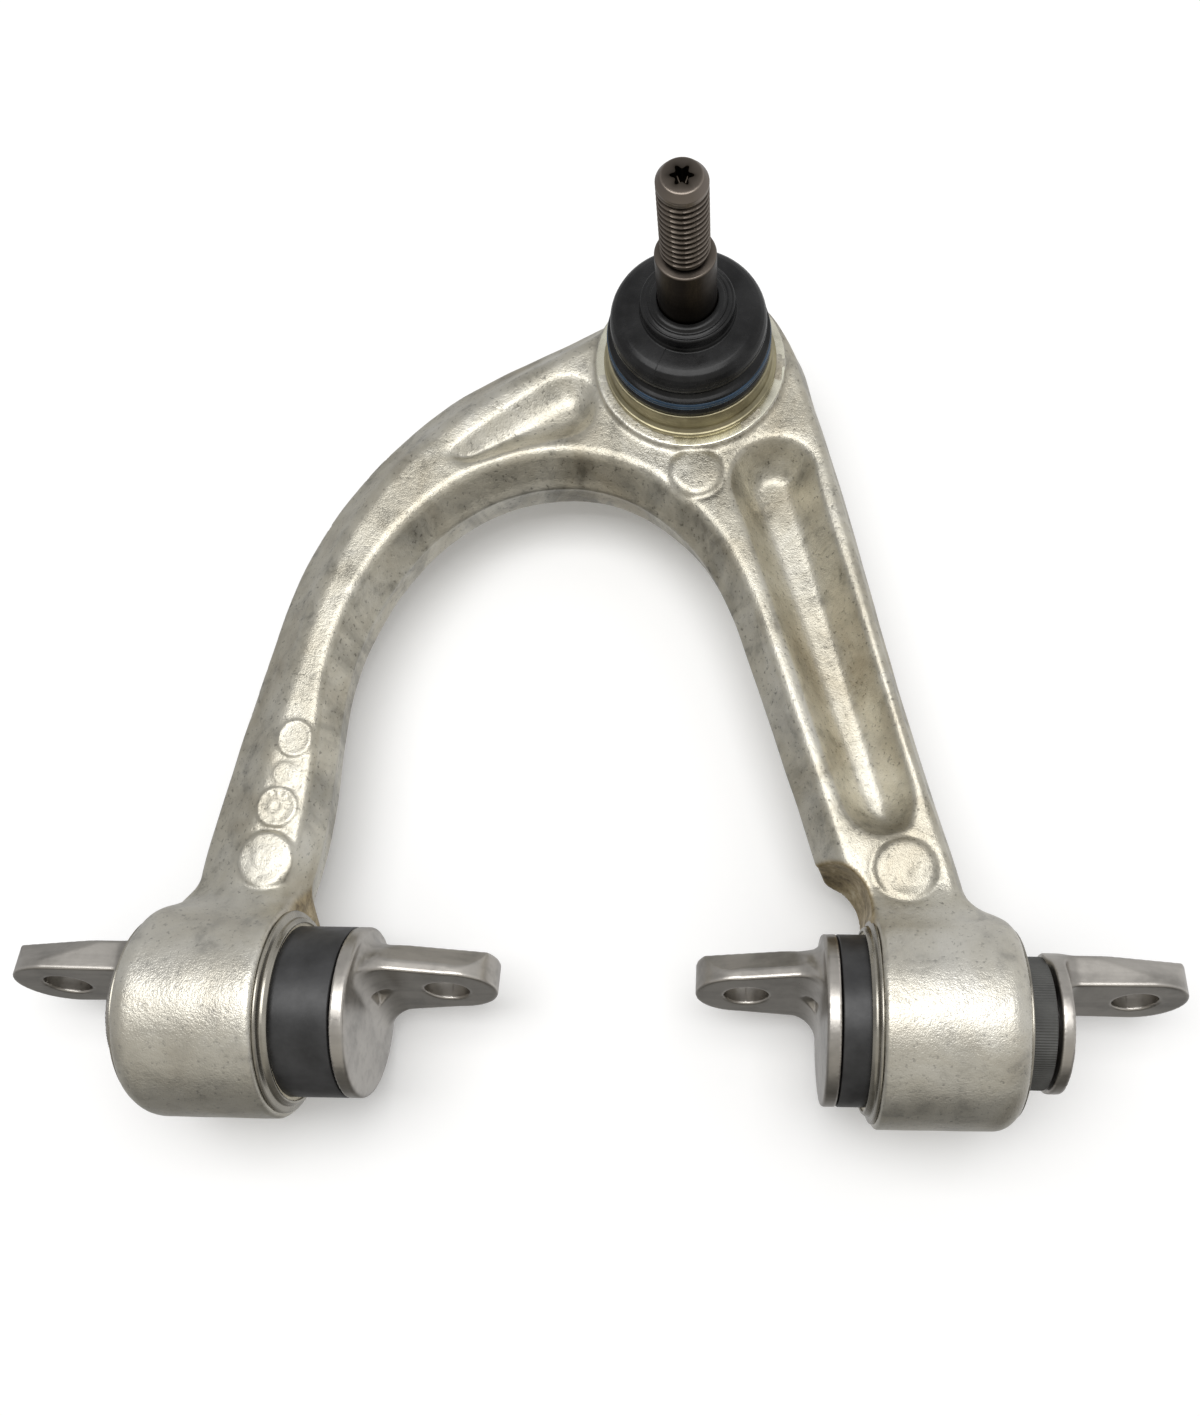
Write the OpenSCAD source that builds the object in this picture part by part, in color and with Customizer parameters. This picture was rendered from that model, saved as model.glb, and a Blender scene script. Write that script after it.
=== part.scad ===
// Control arm: a forged aluminium A-arm with a ball joint at its apex and a
// sliding, turning bar-pin bush in each of its two housings.
// Frame, in mm: +X runs along the pivot axis of the two bushes, +Y points from
// the pivot axis to the ball joint, +Z is the way the ball stud points.
// The origin is on the pivot axis, midway between the two bush housings.

/* [Layout] */
// distance between the centres of the two bush housings
housing_spacing = 176; // [140:0.5:220]
// ball joint axis, along the pivot axis from the origin
ball_x = 23.5; // [-40:0.5:40]
// ball joint axis, square to the pivot axis
ball_y = 175; // [120:0.5:240]
// height of the ball centre over the pivot axis
ball_z = 2; // [-6:0.5:8]
// how far the left pin has slid from the middle of its travel
left_slid = 7; // [-6:0.5:7]

/* [Forging] */
// top face of both legs
top_z = 6.5; // [3:0.5:12]
// parting line of the dies
part_z = -3.5; // [-8:0.5:2]
// underside of both legs
bottom_z = -15; // [-20:0.5:-8]
// radius of the eye round the ball joint
eye_r = 28; // [26:0.5:34]
// radius of the machined face round the ball joint
machined_r = 25.6; // [23.5:0.1:27.5]
// top of the machined face
machined_z = 8; // [6.5:0.1:9]
// outer radius of a bush housing
housing_r = 25.9; // [24.5:0.1:30]
// length of a bush housing
housing_l = 34; // [24:1:44]
// rounding of the outer end of a bush housing
housing_round = 6; // [1:0.5:8]
// radius of the relief that clears a pin's large collar
relief_r = 24.5; // [22.5:0.5:28]
// depth of the long pocket in the right leg
pocket_depth = 10; // [3:0.5:14]
// depth of the pocket beside the ball joint
small_pocket_depth = 4.5; // [1:0.5:8]

/* [Bush] */
// outer radius of the pressed-in sleeve
sleeve_r = 22.4; // [21:0.1:24]
// bore radius of the sleeve
sleeve_bore_r = 21.7; // [21:0.1:22]
// how far the sleeve stands out of its housing
lip_l = 2.5; // [1:0.1:4]
// radius of the black sliding drum
drum_r = 20.8; // [18:0.1:21]
// radius of the ribbed tail of the sliding drum
tail_r = 16.1; // [14:0.1:17]
// number of ribs on the tail
ribs = 40; // [24:4:90]
// running clearance of drum, tail and core tube
run_gap = 0.05; // [0.02:0.01:0.1]
// radius of the bar pin inside the core tube
bar_r = 9; // [7:0.1:11]
// wall of the core tube
core_wall = 2; // [1:0.1:3]

/* [Bar pin] */
// radius of the large collar
big_collar_r = 20.8; // [18:0.1:21]
// radius of the small collar and of the bar its tabs are cut from
small_collar_r = 17; // [15:0.1:18]
// distance between the two bolt holes
hole_spacing = 95; // [80:0.5:120]
// bolt hole diameter
hole_d = 11; // [8.5:0.1:13]
// length of the whole pin
pin_l = 120; // [100:1:150]
// thickness of a tab
tab_t = 8; // [5:0.1:10]
// distance of a tab's front face behind the pivot axis
tab_back = 5.75; // [0:0.25:8]
// half the height of a tab at its bolt hole
tab_half_h = 10.5; // [9:0.1:13]
// lean of the tabs from the vertical
tab_lean = 15; // [0:1:30]

/* [Ball joint] */
// radius of the ball
ball_r = 12.5; // [10:0.1:14]
// thickness of the bearing liner between ball and seat
liner_t = 0.6; // [0.4:0.05:1]
// running clearance on either side of the bearing liner
ball_gap = 0.03; // [0.01:0.01:0.06]
// radius of the neck over the ball
neck_r = 6; // [5:0.1:7]
// radius of the stud's shank
shank_r = 7.45; // [6:0.05:9]
// bottom of the shank's ground seat, over the boot's lip
seat_z = 33; // [30:0.1:36]
// top of the shank
shank_top = 47.7; // [40:0.1:55]
// thread diameter
thread_d = 12; // [10:1:16]
// top of the stud
stud_top = 70.2; // [60:0.1:80]
// radius of the ball housing in the eye
cup_r = 21; // [19:0.1:23]
// radius of the ball housing's flange
flange_r = 23.1; // [22:0.1:25]
// radius of the collar that carries the boot
boot_collar_r = 21.9; // [20:0.1:22.5]

/* [Hidden] */
$fn = 96;
eps = 0.01;
housing_x = housing_spacing / 2;

// outline of the forging at the parting line, counter-clockwise:
// x, y, how far the top edge is set in, how far the bottom edge is set in
OUTLINE = [
  [98.5, 10, 3, 2], [97, 22, 3, 2], [93.7, 36, 3, 2], [89.2, 51, 3, 2], [83, 72, 3, 2], [76, 98, 3, 2],
  [69, 126, 3, 2], [62.5, 151, 3, 2], [57.5, 168, 3, 2], [53.8, 181, 3, 2], [48, 190.5, 2.5, 2],
  [40.5, 197.5, 2, 2], [32, 201.7, 2, 2], [23.5, 203, 2, 2], [15, 201.7, 3, 2], [7, 198, 5, 2],
  [-5, 191, 8, 3], [-19, 183.4, 9, 3], [-30.5, 177, 9.5, 3], [-43, 168.7, 10, 3], [-56, 156.6, 10, 3],
  [-66.5, 143.5, 10, 3], [-75.5, 127.5, 10, 3], [-82, 110, 10.5, 3], [-87, 91, 11, 3],
  [-91.5, 71, 11.5, 3], [-95, 53, 12, 3], [-98, 36, 13, 3], [-100, 22, 12, 3], [-101, 10, 12, 3],
  [-75.5, 10, 3, 2], [-73, 22, 3, 2], [-70, 35, 2.5, 2], [-68, 47, 2.5, 2], [-67, 60, 2.5, 2],
  [-66.5, 74, 2.5, 2], [-65.3, 87, 3, 2], [-61.7, 101, 3.5, 2], [-55, 115, 4, 2], [-45.5, 127.5, 4.5, 2],
  [-33, 137.5, 5, 2], [-20, 142.7, 5, 2], [-6, 143.8, 5, 2], [7, 140.4, 5, 2], [18.5, 133, 5, 2],
  [28, 122.5, 5, 2], [35.5, 108, 5, 2], [41.5, 91, 5, 2], [47.5, 73, 5, 2], [53.5, 54.5, 5, 2],
  [58.5, 38, 5, 2], [62.5, 24, 5, 2], [66, 10, 5, 2]];

// rim of the long pocket in the right leg, counter-clockwise
POCKET_R = [[34.5, 141], [39, 127.5], [44.5, 111], [53.2, 84], [61.8, 58], [65.5, 49.5], [70.3, 45.6],
  [76, 45.2], [80.5, 48], [81.6, 55.5], [79, 66], [71, 95], [59.2, 136.5], [56.8, 147.6],
  [53.5, 151.6], [48.3, 153.6], [42.5, 152.8], [37.2, 149]];
// rim of the small pocket beside the ball joint, counter-clockwise
POCKET_L = [[-41, 148.5], [-38.5, 145.6], [-33, 145.4], [-21, 149.8], [-8, 153], [-2.5, 157],
  [-1.2, 163.5], [-3.6, 169.6], [-9, 172], [-15.5, 170], [-27, 161.5], [-37.3, 152.8]];

// inward unit normal of a counter-clockwise outline at its point i
function inward(P, i) = let (n = len(P), d = P[(i + 1) % n] - P[(i + n - 1) % n],
  v = [-d[1], d[0]]) [v[0], v[1]] / norm([v[0], v[1]]);
function inset(P, amount) = [for (i = [0 : len(P) - 1])
  let (q = [for (p = P) [p[0], p[1]]], a = is_num(amount) ? amount : P[i][amount[0]])
  q[i] + a * inward(q, i)];
function tail_points(u0, u1, r0, r1) = [[0, u0], [r0, u0], [r1, u1], [0, u1]];

// triangles between points i..last and j..last of two chains that run side by side: chain A is
// points 0..k of a closed outline, chain B is its points from the last one down to k + 1
function zip_faces(P, k, i = 0, j = 0) = let (n = len(P), end_b = n - 2 - k, a = P[i], b = P[n - 1 - j])
  i == k && j == end_b ? [] :
  j == end_b || (i < k && dist(P[i + 1], b) < dist(a, P[n - 2 - j]))
    ? concat([[i, i + 1, n - 1 - j]], zip_faces(P, k, i + 1, j))
    : concat([[i, n - 2 - j, n - 1 - j]], zip_faces(P, k, i, j + 1));
function dist(p, q) = norm([p[0] - q[0], p[1] - q[1]]);

// a closed solid through several level outlines with equal numbers of points;
// split is the last point of the outline's first side
module loft(levels, heights, split) {
  n = len(levels[0]);
  m = len(levels);
  top = (m - 1) * n;
  caps = zip_faces(levels[0], split);
  lid = zip_faces(levels[m - 1], split);
  polyhedron(
    points = [for (k = [0 : m - 1]) for (p = levels[k]) [p[0], p[1], heights[k]]],
    faces = concat(
      caps,
      [for (t = lid) [top + t[2], top + t[1], top + t[0]]],
      [for (k = [0 : m - 2]) for (i = [0 : n - 1]) let (j = (i + 1) % n)
        [k * n + i, (k + 1) * n + i, (k + 1) * n + j]],
      [for (k = [0 : m - 2]) for (i = [0 : n - 1]) let (j = (i + 1) % n)
        [k * n + i, (k + 1) * n + j, k * n + j]]));
}

// turns a shape made along +Z to lie along the pivot axis, +Z pointing away from the origin
module on_axis(side, shift = 0) {
  translate([side * (housing_x + shift), 0, 0]) rotate([0, side * 90, 0]) children();
}

module ring(r, bore, l) {
  difference() {
    cylinder(r = r, h = l);
    translate([0, 0, -1]) cylinder(r = bore, h = l + 2);
  }
}

module housing_blank() {
  translate([0, 0, -housing_l / 2]) cylinder(r = housing_r, h = housing_l - housing_round);
  translate([0, 0, housing_l / 2 - housing_round - eps]) rotate_extrude() {
    square([housing_r - housing_round, housing_round + eps]);
    intersection() {
      translate([housing_r - housing_round, 0]) circle(r = housing_round, $fn = 32);
      square([housing_r + 1, housing_round + eps]);
    }
  }
}

module round_pad(x, y, r) {
  translate([x, y, top_z - 1]) cylinder(r = r, h = 1.3);
}

module arm_forging() {
  color("silver") difference() {
    union() {
      loft([inset(OUTLINE, [3]), inset(OUTLINE, 0), inset(OUTLINE, [2])], [bottom_z, part_z, top_z], 29);
      translate([ball_x, ball_y, bottom_z - 1]) cylinder(r = eye_r - 1.5, h = top_z - bottom_z + 1);
      translate([ball_x, ball_y, top_z - 1]) cylinder(r = machined_r, h = machined_z - top_z + 1);
      for (side = [-1, 1]) on_axis(side) housing_blank();
      round_pad(25.5, 143, 6.6);
      round_pad(79, 36.5, 7.6);
      round_pad(-78.6, 36.5, 7.2);
      round_pad(-77.2, 50, 4.6);
      round_pad(-76, 58.6, 3.4);
      round_pad(-74.2, 67.4, 4.2);
    }
    translate([ball_x, ball_y, bottom_z - 2]) cylinder(r = cup_r, h = 40);
    for (side = [-1, 1]) {
      on_axis(side) translate([0, 0, -60]) cylinder(r = sleeve_r, h = 100);
      on_axis(side) translate([0, 0, -60]) cylinder(r = relief_r, h = 60 - housing_l / 2);
      on_axis(side) translate([0, 0, -housing_l / 2 - 12]) rotate_extrude($fn = 48)
        translate([27.5, 0]) circle(r = 11.5, $fn = 24);
    }
    loft([inset(POCKET_R, 5.2), inset(POCKET_R, 3.6), POCKET_R],
      [top_z - pocket_depth, top_z - pocket_depth + 1.5, top_z + eps], 8);
    loft([inset(POCKET_L, 3.4), POCKET_L], [top_z - small_pocket_depth, top_z + eps], 5);
  }
}

module at_ball() { translate([ball_x, ball_y, 0]) children(); }

module ball_housing() {
  color("darkkhaki") at_ball() difference() {
    union() {
      translate([0, 0, -18]) cylinder(r = cup_r, h = 26);
      translate([0, 0, 8]) cylinder(r = flange_r, h = 1.4);
      translate([0, 0, 9.4]) cylinder(r1 = flange_r - 0.6, r2 = boot_collar_r, h = 1);
      translate([0, 0, 10.4]) cylinder(r = boot_collar_r, h = 4.8);
      translate([0, 0, 15.2]) cylinder(r = 19.4, h = 4.4);
    }
    translate([0, 0, -19]) cylinder(r = 18, h = 28);
    translate([0, 0, 8]) cylinder(r = 11.8, h = 3);
    translate([0, 0, 10.5]) cylinder(r1 = 11.8, r2 = 17, h = 9.2);
    translate([0, 0, -17]) cylinder(r = 19, h = 1.5);
  }
}

module ball_seat() {
  color("ivory") at_ball() difference() {
    translate([0, 0, -12]) cylinder(r = 18, h = 21);
    translate([0, 0, ball_z]) sphere(r = ball_r + liner_t + 2 * ball_gap);
    translate([0, 0, ball_z]) cylinder(r1 = 0, r2 = 15, h = 9);
    translate([0, 0, -13]) cylinder(r = 4, h = 5);
  }
}

module ball_liner() {
  color("tan") at_ball() intersection() {
    difference() {
      translate([0, 0, ball_z]) sphere(r = ball_r + liner_t + ball_gap);
      translate([0, 0, ball_z]) sphere(r = ball_r + ball_gap);
    }
    translate([0, 0, ball_z - 8]) cylinder(r = 20, h = 11.5);
  }
}

module pressure_plate() {
  color("lightsteelblue") at_ball() translate([0, 0, -13.5]) ring(17.8, 9, 1.5);
}

module bottom_cover() {
  color("darkgray") at_ball() {
    translate([0, 0, -15.5]) cylinder(r = 17.9, h = 2);
    translate([0, 0, -16.5]) cylinder(r = 11, h = 1);
  }
}

module snap_ring() {
  color("dimgray") at_ball() translate([0, 0, -17]) difference() {
    ring(18.9, 15.5, 1.5);
    translate([0, -20, -1]) cube([5, 20, 4], center = false);
  }
}

module ball_stud() {
  lobe = 2.9;
  color("dimgray") at_ball() difference() {
    union() {
      translate([0, 0, ball_z]) sphere(r = ball_r);
      translate([0, 0, ball_z + 8]) cylinder(r = neck_r, h = 11);
      translate([0, 0, ball_z + 19 - eps]) cylinder(r1 = neck_r, r2 = shank_r - 0.3, h = 5);
      translate([0, 0, ball_z + 24 - 2 * eps]) cylinder(r = shank_r - 0.3, h = seat_z - ball_z - 24 + 3 * eps);
      translate([0, 0, seat_z]) cylinder(r = shank_r, h = shank_top - seat_z - 1 + eps);
      translate([0, 0, shank_top - 1]) cylinder(r1 = shank_r, r2 = shank_r - 0.6, h = 1);
      translate([0, 0, shank_top - eps]) cylinder(r = 4.9, h = 2 + eps);
      translate([0, 0, shank_top + 2 - eps]) cylinder(d = thread_d, h = stud_top - shank_top - 4 + eps);
      translate([0, 0, stud_top - 2 - eps]) cylinder(r1 = thread_d / 2, r2 = thread_d / 2 - 1.2, h = 2 + eps);
    }
    translate([0, 0, stud_top - 4]) {
      cylinder(r = 2.2, h = 5);
      for (i = [0 : 5]) rotate([0, 0, 60 * i + 30]) translate([lobe - 0.9, 0, 0]) cylinder(r = 0.9, h = 5, $fn = 48);
    }
  }
}

module boot() {
  color("#202020") at_ball() rotate_extrude() polygon([
    [21.4, 15.25], [21.4, 17.25], [20.35, 17.25], [20.35, 19.55], [21, 19.55], [20.6, 20.6], [19.9, 22],
    [20, 25], [19.6, 26.8], [18.4, 28.1], [16.5, 28.7], [11.95, 28.9], [11.95, 29.5], [10.15, 29.5],
    [10.15, 31.6], [9.4, 32.6], [7.25, 32.6], [7.25, 28.4], [9.6, 27.6], [15.5, 27], [17.4, 26.2],
    [18, 24.8], [18, 21.5], [19.45, 20], [19.45, 15.25]]);
}

module boot_clip_ring() {
  color("midnightblue") at_ball() translate([0, 0, 17.35]) ring(21.2, 20.4, 2.1);
}

module boot_top_ring() {
  color("#303030") at_ball() translate([0, 0, 29.55]) ring(11.6, 10.2, 2);
}

// bush parts are drawn with +Z towards the outer end of their housing, 0 at its middle
module outer_sleeve(side) {
  h0 = -housing_l / 2;
  color("lightgray") on_axis(side) difference() {
    union() {
      translate([0, 0, h0 - 0.4]) cylinder(r = sleeve_r, h = housing_l - 1.1);
      translate([0, 0, h0 - lip_l]) cylinder(r1 = sleeve_r + 0.1, r2 = sleeve_r + 0.9, h = lip_l - 0.4);
    }
    translate([0, 0, h0 - lip_l - 1]) cylinder(r = sleeve_bore_r, h = housing_l + lip_l - 2);
    translate([0, 0, 10]) cylinder(r = 18, h = 10);
  }
}

module slide_liner(side) {
  color("peru") on_axis(side) translate([0, 0, -housing_l / 2 - 2]) ring(sleeve_bore_r, drum_r + run_gap, 26);
}

module guide_ring(side) {
  color("darkslategray") on_axis(side) translate([0, 0, 9]) ring(sleeve_bore_r, tail_r + 2 * run_gap, 5);
}

// pin parts are drawn in the pin's own place, 0 at its middle
module drum_profile() {
  translate([0, 0, -25.7]) cylinder(r = drum_r, h = 21.7);
  translate([0, 0, -4 - eps]) cylinder(r = tail_r - 0.25, h = 27.8 + eps);
  for (i = [0 : ribs - 1]) rotate([0, 0, 360 / ribs * i])
    translate([tail_r - 1.2, -0.3, -4 - eps]) cube([1.2, 0.6, 27.8 + eps]);
}

module slide_drum(side, slid) {
  color("#1a1a1a") on_axis(side, -slid) difference() {
    drum_profile();
    translate([0, 0, -30]) cylinder(r = bar_r + run_gap + core_wall, h = 60);
  }
}

module core_tube(side, slid) {
  color("slategray") on_axis(side, -slid) translate([0, 0, -25.8]) ring(bar_r + run_gap + core_wall, bar_r + run_gap, 49.9);
}

// tab outline in the plane of its faces: length along the axis, height across
module tab_2d(root_half, root_at) {
  polygon([[root_at, -root_half], [49, -11], [49, 11], [root_at, root_half]]);
  translate([49, 0]) circle(r = 11);
}

// half of the pin from its collar outwards, drawn along +X with the front face towards -Y
module tab(root_half, root_at) {
  intersection() {
    difference() {
      translate([0, tab_back, 0]) rotate([-90, 0, 0]) linear_extrude(tab_t) tab_2d(root_half, root_at);
      translate([hole_spacing / 2, 0, 0]) rotate([-90, 0, 0]) cylinder(d = hole_d, h = 40);
    }
    rotate([0, 90, 0]) cylinder(r = small_collar_r, h = 70);
  }
}

module bar_pin(side, slid) {
  color("gainsboro") translate([side * (housing_x - slid), 0, 0]) rotate([-tab_lean, 0, 0]) {
    rotate([0, 90, 0]) translate([0, 0, -27]) cylinder(r = bar_r, h = 54);
    mirror([side > 0 ? 0 : 1, 0, 0]) {
      rotate([0, 90, 0]) {
        translate([0, 0, -28.7]) cylinder(r = big_collar_r, h = 2.7);
        translate([0, 0, -29.5]) cylinder(r1 = big_collar_r - 0.8, r2 = big_collar_r, h = 0.8 + eps);
        translate([0, 0, 24.5]) cylinder(r = small_collar_r, h = 3);
      }
      tab(10.5, 27.4);
      mirror([1, 0, 0]) tab(15, 29.4);
      intersection() {
        rotate([0, 90, 0]) translate([0, 0, -35.5]) cylinder(r = small_collar_r, h = 6.1);
        translate([-40, tab_back, -20]) cube([20, 20, 40]);
      }
    }
  }
}

arm_forging();
ball_housing();
ball_seat();
ball_liner();
pressure_plate();
bottom_cover();
snap_ring();
ball_stud();
boot();
boot_clip_ring();
boot_top_ring();
outer_sleeve(-1);  // outer_sleeve_l
slide_liner(-1);  // slide_liner_l
guide_ring(-1);  // guide_ring_l
slide_drum(-1, left_slid);  // slide_drum_l
core_tube(-1, left_slid);  // core_tube_l
bar_pin(-1, left_slid);  // bar_pin_l
outer_sleeve(1);  // outer_sleeve_r
slide_liner(1);  // slide_liner_r
guide_ring(1);  // guide_ring_r
slide_drum(1, 0);  // slide_drum_r
core_tube(1, 0);  // core_tube_r
bar_pin(1, 0);  // bar_pin_r
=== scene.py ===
"""Control arm: the looks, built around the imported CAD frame.

Sizes are in millimetres in the CAD frame until a mesh is written, which is in metres.
"""

import math

import bpy
import numpy as np
from mathutils import Euler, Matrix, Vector


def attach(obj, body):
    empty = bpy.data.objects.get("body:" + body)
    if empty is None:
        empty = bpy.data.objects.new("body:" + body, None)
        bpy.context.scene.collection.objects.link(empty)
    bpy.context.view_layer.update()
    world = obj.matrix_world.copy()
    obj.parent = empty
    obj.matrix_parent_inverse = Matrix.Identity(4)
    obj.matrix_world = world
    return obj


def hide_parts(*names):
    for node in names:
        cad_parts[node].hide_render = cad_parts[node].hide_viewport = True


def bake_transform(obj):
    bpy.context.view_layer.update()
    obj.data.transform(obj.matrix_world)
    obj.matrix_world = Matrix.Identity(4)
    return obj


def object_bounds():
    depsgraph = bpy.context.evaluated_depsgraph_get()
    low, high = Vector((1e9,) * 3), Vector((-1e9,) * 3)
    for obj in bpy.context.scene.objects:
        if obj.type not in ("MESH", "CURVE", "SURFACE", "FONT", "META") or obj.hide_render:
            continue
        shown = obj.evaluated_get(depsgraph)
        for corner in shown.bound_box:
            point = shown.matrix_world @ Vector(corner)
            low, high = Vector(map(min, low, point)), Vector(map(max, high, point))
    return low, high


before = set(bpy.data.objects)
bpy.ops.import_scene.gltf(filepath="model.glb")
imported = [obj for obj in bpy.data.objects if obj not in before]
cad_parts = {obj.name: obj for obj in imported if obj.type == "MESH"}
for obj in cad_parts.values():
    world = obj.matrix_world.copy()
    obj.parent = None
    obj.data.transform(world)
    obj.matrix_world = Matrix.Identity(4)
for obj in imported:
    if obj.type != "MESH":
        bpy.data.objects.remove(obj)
cad_lo, cad_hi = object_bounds()

MM = 0.001
rng = np.random.default_rng(7)

# ---------------------------------------------------------------- design sizes, in mm
HOUSING_X, HOUSING_R, HOUSING_L, HOUSING_ROUND = 88.0, 25.9, 34.0, 6.0
BALL_X, BALL_Y, BALL_Z = 23.5, 175.0, 2.0
TOP_Z, PART_Z, BOTTOM_Z = 6.5, -3.5, -15.0
EYE_BORE, MACHINED_R, MACHINED_Z = 21.0, 25.6, 8.0
EYE_R, FACE_RISE = 26.5, 0.04
SLEEVE_R, SLEEVE_BORE, LIP_L = 22.4, 21.7, 2.5
# room for the large collars: a flat relief, and a scallop swept round the pivot axis
RELIEF_R, RELIEF_DEPTH, RELIEF_REACH = 24.5, 0.9, 30
SCALLOP_AT_R, SCALLOP_BACK, SCALLOP_R = 27.5, 12, 11.3
FLASH_RISE, FLASH_UP, FLASH_HALF, FLASH_EDGE = 0.4, 0.3, 1.3, 0.42
DRUM_R, TAIL_R, BAR_R, COLLAR_R, SMALL_R = 20.8, 16.1, 9.0, 20.8, 17.0
CORE_R, TAIL_FROM, TAIL_TO, RIBS, RIB_DEPTH = BAR_R + 2.1, -4, 23.7, 150, 0.14
# faces of the large and of the small collar, from the middle of the pin
BIG_FROM, BIG_TO, SMALL_FROM, SMALL_TO = 26, 29.5, 24.5, 27.5
TAB_BACK, TAB_T, TAB_LEAN, TAB_END, TAB_HALF = 5.75, 8.0, 15.0, 49.0, 11
HOLE_AT, HOLE_R = 47.5, 5.5
PIN_SLID = {"l": 7.0, "r": 0.0}
SIDE = {"l": -1.0, "r": 1.0}

# outline of the forging at its parting line: x, y, inset of the top edge and of the bottom edge
OUTER = np.array([
    [98.5, -60, 3, 2], [98.5, 10, 3, 2], [97, 22, 3, 2], [93.7, 36, 3, 2], [89.2, 51, 3, 2],
    [83, 72, 3, 2], [76, 98, 3, 2], [69, 126, 3, 2], [62.5, 151, 3, 2], [57.5, 168, 3, 2],
    [53.8, 181, 3, 2], [48, 190.5, 2.5, 2], [40.5, 197.5, 2, 2], [32, 201.7, 2, 2],
    [23.5, 203, 2, 2], [15, 201.7, 3, 2], [7, 198, 5, 2], [-5, 191, 8, 3], [-19, 183.4, 9, 3],
    [-30.5, 177, 9.5, 3], [-43, 168.7, 10, 3], [-56, 156.6, 10, 3], [-66.5, 143.5, 10, 3],
    [-75.5, 127.5, 10, 3], [-82, 110, 10.5, 3], [-87, 91, 11, 3], [-91.5, 71, 11.5, 3],
    [-95, 53, 12, 3], [-98, 36, 13, 3], [-100, 22, 12, 3], [-101, 10, 12, 3], [-101, -60, 12, 3]])
INNER = np.array([
    [-75.5, -60, 3, 2], [-75.5, 10, 3, 2], [-73, 22, 3, 2], [-70, 35, 2.5, 2],
    [-68, 47, 2.5, 2], [-67, 60, 2.5, 2], [-66.5, 74, 2.5, 2], [-65.3, 87, 3, 2],
    [-61.7, 101, 3.5, 2], [-55, 115, 4, 2], [-45.5, 127.5, 4.5, 2], [-33, 137.5, 5, 2],
    [-20, 142.7, 5, 2], [-6, 143.8, 5, 2], [7, 140.4, 5, 2], [18.5, 133, 5, 2],
    [28, 122.5, 5, 2], [35.5, 108, 5, 2], [41.5, 91, 5, 2], [47.5, 73, 5, 2],
    [53.5, 54.5, 5, 2], [58.5, 38, 5, 2], [62.5, 24, 5, 2], [66, 10, 5, 2], [66, -60, 5, 2]])
POCKET_R = np.array([
    [34.5, 141], [39, 127.5], [44.5, 111], [53.2, 84], [61.8, 58], [65.5, 49.5], [70.3, 45.6],
    [76, 45.2], [80.5, 48], [81.6, 55.5], [79, 66], [71, 95], [59.2, 136.5], [56.8, 147.6],
    [53.5, 151.6], [48.3, 153.6], [42.5, 152.8], [37.2, 149]])
POCKET_L = np.array([
    [-41, 148.5], [-38.5, 145.6], [-33, 145.4], [-21, 149.8], [-8, 153], [-2.5, 157],
    [-1.2, 163.5], [-3.6, 169.6], [-9, 172], [-15.5, 170], [-27, 161.5], [-37.3, 152.8]])

# pockets: rim, depth, how far the wall reaches in, and how quickly it falls
POCKETS = ((POCKET_R, 10.0, 8.2, 0.85), (POCKET_L, 4.6, 8.0, 0.9))
# round pads on the top face: x, y, radius, rise
PADS = ((25.5, 143, 6.6, 0.75), (79, 36.5, 7.4, 0.8), (-78.6, 36.5, 7.0, 0.8))
# pads that stand out over the left leg's sloping side: x, y, radius
SIDE_PADS = ((-78.6, 36.5, 7.0), (-77.2, 50, 5.1), (-74.4, 68, 4.6))
DOTS_X, DOTS_Y, DOTS_R, DOT_PITCH = -78.6, 36.5, 2.9, 1.3
DIAL_X, DIAL_Y, DIAL_MARKS = -77.2, 50, 6
TURNED_X, TURNED_Y, TURNED_R = -76, 58.6, 3.2
OVAL_X, OVAL_Y, OVAL_R, OVAL_SQUEEZE = -74.2, 68.0, 4.6, 0.86


# ---------------------------------------------------------------- distance fields
def cut(a, b, r):
    """Both a and b, with an edge of radius r where they meet."""
    return np.minimum(np.maximum(a, b), -r) + np.hypot(np.maximum(a + r, 0), np.maximum(b + r, 0))


def join(a, b, r):
    """Either a or b, with a fillet of radius r where they meet."""
    return -cut(-a, -b, r)


def smooth_chain(p, steps=4, closed=False):
    """Catmull-Rom through the points."""
    n = len(p)
    out = []
    for i in range(n if closed else n - 1):
        a, b, c, d = (p[(i + k) % n] if closed else p[min(max(i + k, 0), n - 1)]
                      for k in (-1, 0, 1, 2))
        for t in np.arange(steps) / steps:
            out.append(0.5 * (2 * b + (c - a) * t + (2 * a - 5 * b + 4 * c - d) * t**2
                              + (3 * b - a - 3 * c + d) * t**3))
    if not closed:
        out.append(p[-1])
    return np.array(out)


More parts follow.
